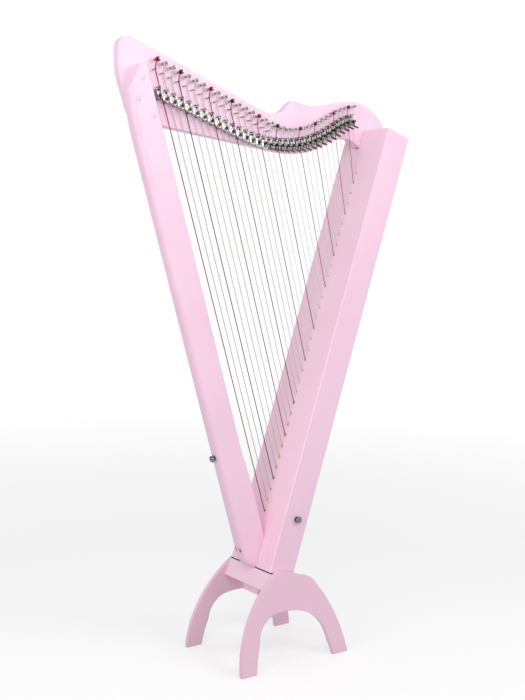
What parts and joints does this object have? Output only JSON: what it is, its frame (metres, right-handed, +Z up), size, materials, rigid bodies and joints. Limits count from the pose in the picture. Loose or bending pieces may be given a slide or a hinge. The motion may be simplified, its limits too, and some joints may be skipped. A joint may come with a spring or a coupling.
{
  "type": "lever harp",
  "caption": "Floor-standing lever harp on a low arched stand: a lapped pillar, curved neck and tapered soundbox hold a fan of strings, each with its own flip-up sharping lever.",
  "frame": {"origin": "middle of the harp's outline on the floor plane", "axes": "+Z up, +X from the pillar to the soundbox along the string plane, -Y to the side that carries the strings and levers"},
  "size_m": [0.7152, 0.221, 1.3068],
  "materials": {
    "pink_wood": "satin pink stain",
    "pink_spruce": "satin pink stain",
    "plain_wood": "unfinished",
    "brass": "polished",
    "pin_steel": "plated",
    "bracket_steel": "plated",
    "black_steel": "black oxide",
    "lever_chrome": "polished",
    "string_red": "gloss",
    "string_black": "gloss",
    "string_wound": "wound",
    "string_nylon": "clear nylon",
    "button_chrome": "polished",
    "felt": "felt"
  },
  "bodies": {
    "frame": {"neck": "pink_wood", "pillar": "pink_wood", "soundboard": "pink_spruce", "side_wall_left": "pink_wood", "side_wall_right": "pink_wood", "back_panel": "pink_wood", "tail_block": "plain_wood", "shoulder_block": "plain_wood", "inner_bars": "plain_wood", "string_eyelets": "brass", "tuning_pins": "pin_steel", "string_pins": "pin_steel", "lever_brackets": "bracket_steel", "lever_screws": "black_steel", "strings_red": "string_red", "strings_black": "string_black", "strings_wound": "string_wound", "strings_nylon": "string_nylon", "pillar_screws": "black_steel", "screw_plugs": "pink_wood", "strap_buttons": "button_chrome", "stand_plate_left": "pink_wood", "stand_plate_right": "pink_wood", "stand_crossbar": "pink_wood", "stand_pad": "felt", "stand_cleat": "pink_wood", "stand_bolts": "black_steel"},
    "lever_01": {"lever_01": "lever_chrome"},
    "lever_02": {"lever_02": "lever_chrome"},
    "lever_03": {"lever_03": "lever_chrome"},
    "lever_04": {"lever_04": "lever_chrome"},
    "lever_05": {"lever_05": "lever_chrome"},
    "lever_06": {"lever_06": "lever_chrome"},
    "lever_07": {"lever_07": "lever_chrome"},
    "lever_08": {"lever_08": "lever_chrome"},
    "lever_09": {"lever_09": "lever_chrome"},
    "lever_10": {"lever_10": "lever_chrome"},
    "lever_11": {"lever_11": "lever_chrome"},
    "lever_12": {"lever_12": "lever_chrome"},
    "lever_13": {"lever_13": "lever_chrome"},
    "lever_14": {"lever_14": "lever_chrome"},
    "lever_15": {"lever_15": "lever_chrome"},
    "lever_16": {"lever_16": "lever_chrome"},
    "lever_17": {"lever_17": "lever_chrome"},
    "lever_18": {"lever_18": "lever_chrome"},
    "lever_19": {"lever_19": "lever_chrome"},
    "lever_20": {"lever_20": "lever_chrome"},
    "lever_21": {"lever_21": "lever_chrome"},
    "lever_22": {"lever_22": "lever_chrome"},
    "lever_23": {"lever_23": "lever_chrome"},
    "lever_24": {"lever_24": "lever_chrome"},
    "lever_25": {"lever_25": "lever_chrome"},
    "lever_26": {"lever_26": "lever_chrome"},
    "lever_27": {"lever_27": "lever_chrome"},
    "lever_28": {"lever_28": "lever_chrome"},
    "lever_29": {"lever_29": "lever_chrome"},
    "lever_30": {"lever_30": "lever_chrome"},
    "lever_31": {"lever_31": "lever_chrome"},
    "lever_32": {"lever_32": "lever_chrome"},
    "lever_33": {"lever_33": "lever_chrome"}
  },
  "joints": [
    {"name": "lever_01_flip", "type": "hinge", "parent": "frame", "child": "lever_01", "pos_m": [-0.26551, -0.0046, 1.19898], "axis": [-0.9508, 0, -0.3097], "range_deg": [0, 110]},
    {"name": "lever_02_flip", "type": "hinge", "parent": "frame", "child": "lever_02", "pos_m": [-0.24787, -0.0046, 1.19461], "axis": [-0.9511, 0, -0.3087], "range_deg": [0, 110]},
    {"name": "lever_03_flip", "type": "hinge", "parent": "frame", "child": "lever_03", "pos_m": [-0.22991, -0.0046, 1.18975], "axis": [-0.9515, 0, -0.3075], "range_deg": [0, 110]},
    {"name": "lever_04_flip", "type": "hinge", "parent": "frame", "child": "lever_04", "pos_m": [-0.2117, -0.0046, 1.1845], "axis": [-0.952, 0, -0.3061], "range_deg": [0, 110]},
    {"name": "lever_05_flip", "type": "hinge", "parent": "frame", "child": "lever_05", "pos_m": [-0.19333, -0.0046, 1.17894], "axis": [-0.9525, 0, -0.3045], "range_deg": [0, 110]},
    {"name": "lever_06_flip", "type": "hinge", "parent": "frame", "child": "lever_06", "pos_m": [-0.17485, -0.0046, 1.17317], "axis": [-0.9531, 0, -0.3026], "range_deg": [0, 110]},
    {"name": "lever_07_flip", "type": "hinge", "parent": "frame", "child": "lever_07", "pos_m": [-0.15635, -0.0046, 1.16728], "axis": [-0.9537, 0, -0.3007], "range_deg": [0, 110]},
    {"name": "lever_08_flip", "type": "hinge", "parent": "frame", "child": "lever_08", "pos_m": [-0.1379, -0.0046, 1.16136], "axis": [-0.9544, 0, -0.2987], "range_deg": [0, 110]},
    {"name": "lever_09_flip", "type": "hinge", "parent": "frame", "child": "lever_09", "pos_m": [-0.11957, -0.0046, 1.15551], "axis": [-0.955, 0, -0.2966], "range_deg": [0, 110]},
    {"name": "lever_10_flip", "type": "hinge", "parent": "frame", "child": "lever_10", "pos_m": [-0.10143, -0.0046, 1.14984], "axis": [-0.9557, 0, -0.2944], "range_deg": [0, 110]},
    {"name": "lever_11_flip", "type": "hinge", "parent": "frame", "child": "lever_11", "pos_m": [-0.08357, -0.0046, 1.14448], "axis": [-0.9563, 0, -0.2924], "range_deg": [0, 110]},
    {"name": "lever_12_flip", "type": "hinge", "parent": "frame", "child": "lever_12", "pos_m": [-0.06606, -0.0046, 1.13956], "axis": [-0.9569, 0, -0.2904], "range_deg": [0, 110]},
    {"name": "lever_13_flip", "type": "hinge", "parent": "frame", "child": "lever_13", "pos_m": [-0.04897, -0.0046, 1.13518], "axis": [-0.9574, 0, -0.2887], "range_deg": [0, 110]},
    {"name": "lever_14_flip", "type": "hinge", "parent": "frame", "child": "lever_14", "pos_m": [-0.03239, -0.0046, 1.13148], "axis": [-0.9578, 0, -0.2873], "range_deg": [0, 110]},
    {"name": "lever_15_flip", "type": "hinge", "parent": "frame", "child": "lever_15", "pos_m": [-0.01637, -0.0046, 1.12859], "axis": [-0.9581, 0, -0.2864], "range_deg": [0, 110]},
    {"name": "lever_16_flip", "type": "hinge", "parent": "frame", "child": "lever_16", "pos_m": [-0.00099, -0.0046, 1.12656], "axis": [-0.9582, 0, -0.286], "range_deg": [0, 110]},
    {"name": "lever_17_flip", "type": "hinge", "parent": "frame", "child": "lever_17", "pos_m": [0.01375, -0.0046, 1.12527], "axis": [-0.9581, 0, -0.2865], "range_deg": [0, 110]},
    {"name": "lever_18_flip", "type": "hinge", "parent": "frame", "child": "lever_18", "pos_m": [0.02921, -0.0046, 1.12547], "axis": [-0.9587, 0, -0.2845], "range_deg": [0, 110]},
    {"name": "lever_19_flip", "type": "hinge", "parent": "frame", "child": "lever_19", "pos_m": [0.04455, -0.0046, 1.12579], "axis": [-0.9593, 0, -0.2825], "range_deg": [0, 110]},
    {"name": "lever_20_flip", "type": "hinge", "parent": "frame", "child": "lever_20", "pos_m": [0.06003, -0.0046, 1.12679], "axis": [-0.9602, 0, -0.2793], "range_deg": [0, 110]},
    {"name": "lever_21_flip", "type": "hinge", "parent": "frame", "child": "lever_21", "pos_m": [0.07555, -0.0046, 1.12853], "axis": [-0.9614, 0, -0.275], "range_deg": [0, 110]},
    {"name": "lever_22_flip", "type": "hinge", "parent": "frame", "child": "lever_22", "pos_m": [0.09102, -0.0046, 1.13104], "axis": [-0.963, 0, -0.2696], "range_deg": [0, 110]},
    {"name": "lever_23_flip", "type": "hinge", "parent": "frame", "child": "lever_23", "pos_m": [0.10634, -0.0046, 1.13436], "axis": [-0.9648, 0, -0.2631], "range_deg": [0, 110]},
    {"name": "lever_24_flip", "type": "hinge", "parent": "frame", "child": "lever_24", "pos_m": [0.12144, -0.0046, 1.13858], "axis": [-0.9668, 0, -0.2556], "range_deg": [0, 110]},
    {"name": "lever_25_flip", "type": "hinge", "parent": "frame", "child": "lever_25", "pos_m": [0.13622, -0.0046, 1.14378], "axis": [-0.969, 0, -0.2471], "range_deg": [0, 110]},
    {"name": "lever_26_flip", "type": "hinge", "parent": "frame", "child": "lever_26", "pos_m": [0.15062, -0.0046, 1.14996], "axis": [-0.9713, 0, -0.2377], "range_deg": [0, 110]},
    {"name": "lever_27_flip", "type": "hinge", "parent": "frame", "child": "lever_27", "pos_m": [0.16459, -0.0046, 1.15692], "axis": [-0.9737, 0, -0.2277], "range_deg": [0, 110]},
    {"name": "lever_28_flip", "type": "hinge", "parent": "frame", "child": "lever_28", "pos_m": [0.17812, -0.0046, 1.16437], "axis": [-0.976, 0, -0.2176], "range_deg": [0, 110]},
    {"name": "lever_29_flip", "type": "hinge", "parent": "frame", "child": "lever_29", "pos_m": [0.19116, -0.0046, 1.17203], "axis": [-0.9782, 0, -0.2077], "range_deg": [0, 110]},
    {"name": "lever_30_flip", "type": "hinge", "parent": "frame", "child": "lever_30", "pos_m": [0.20378, -0.0046, 1.17957], "axis": [-0.9801, 0, -0.1984], "range_deg": [0, 110]},
    {"name": "lever_31_flip", "type": "hinge", "parent": "frame", "child": "lever_31", "pos_m": [0.21643, -0.0046, 1.18648], "axis": [-0.9823, 0, -0.1876], "range_deg": [0, 110]},
    {"name": "lever_32_flip", "type": "hinge", "parent": "frame", "child": "lever_32", "pos_m": [0.2296, -0.0046, 1.1922], "axis": [-0.9851, 0, -0.1717], "range_deg": [0, 110]},
    {"name": "lever_33_flip", "type": "hinge", "parent": "frame", "child": "lever_33", "pos_m": [0.24369, -0.0046, 1.1962], "axis": [-0.9894, 0, -0.1452], "range_deg": [0, 110]}
  ]
}
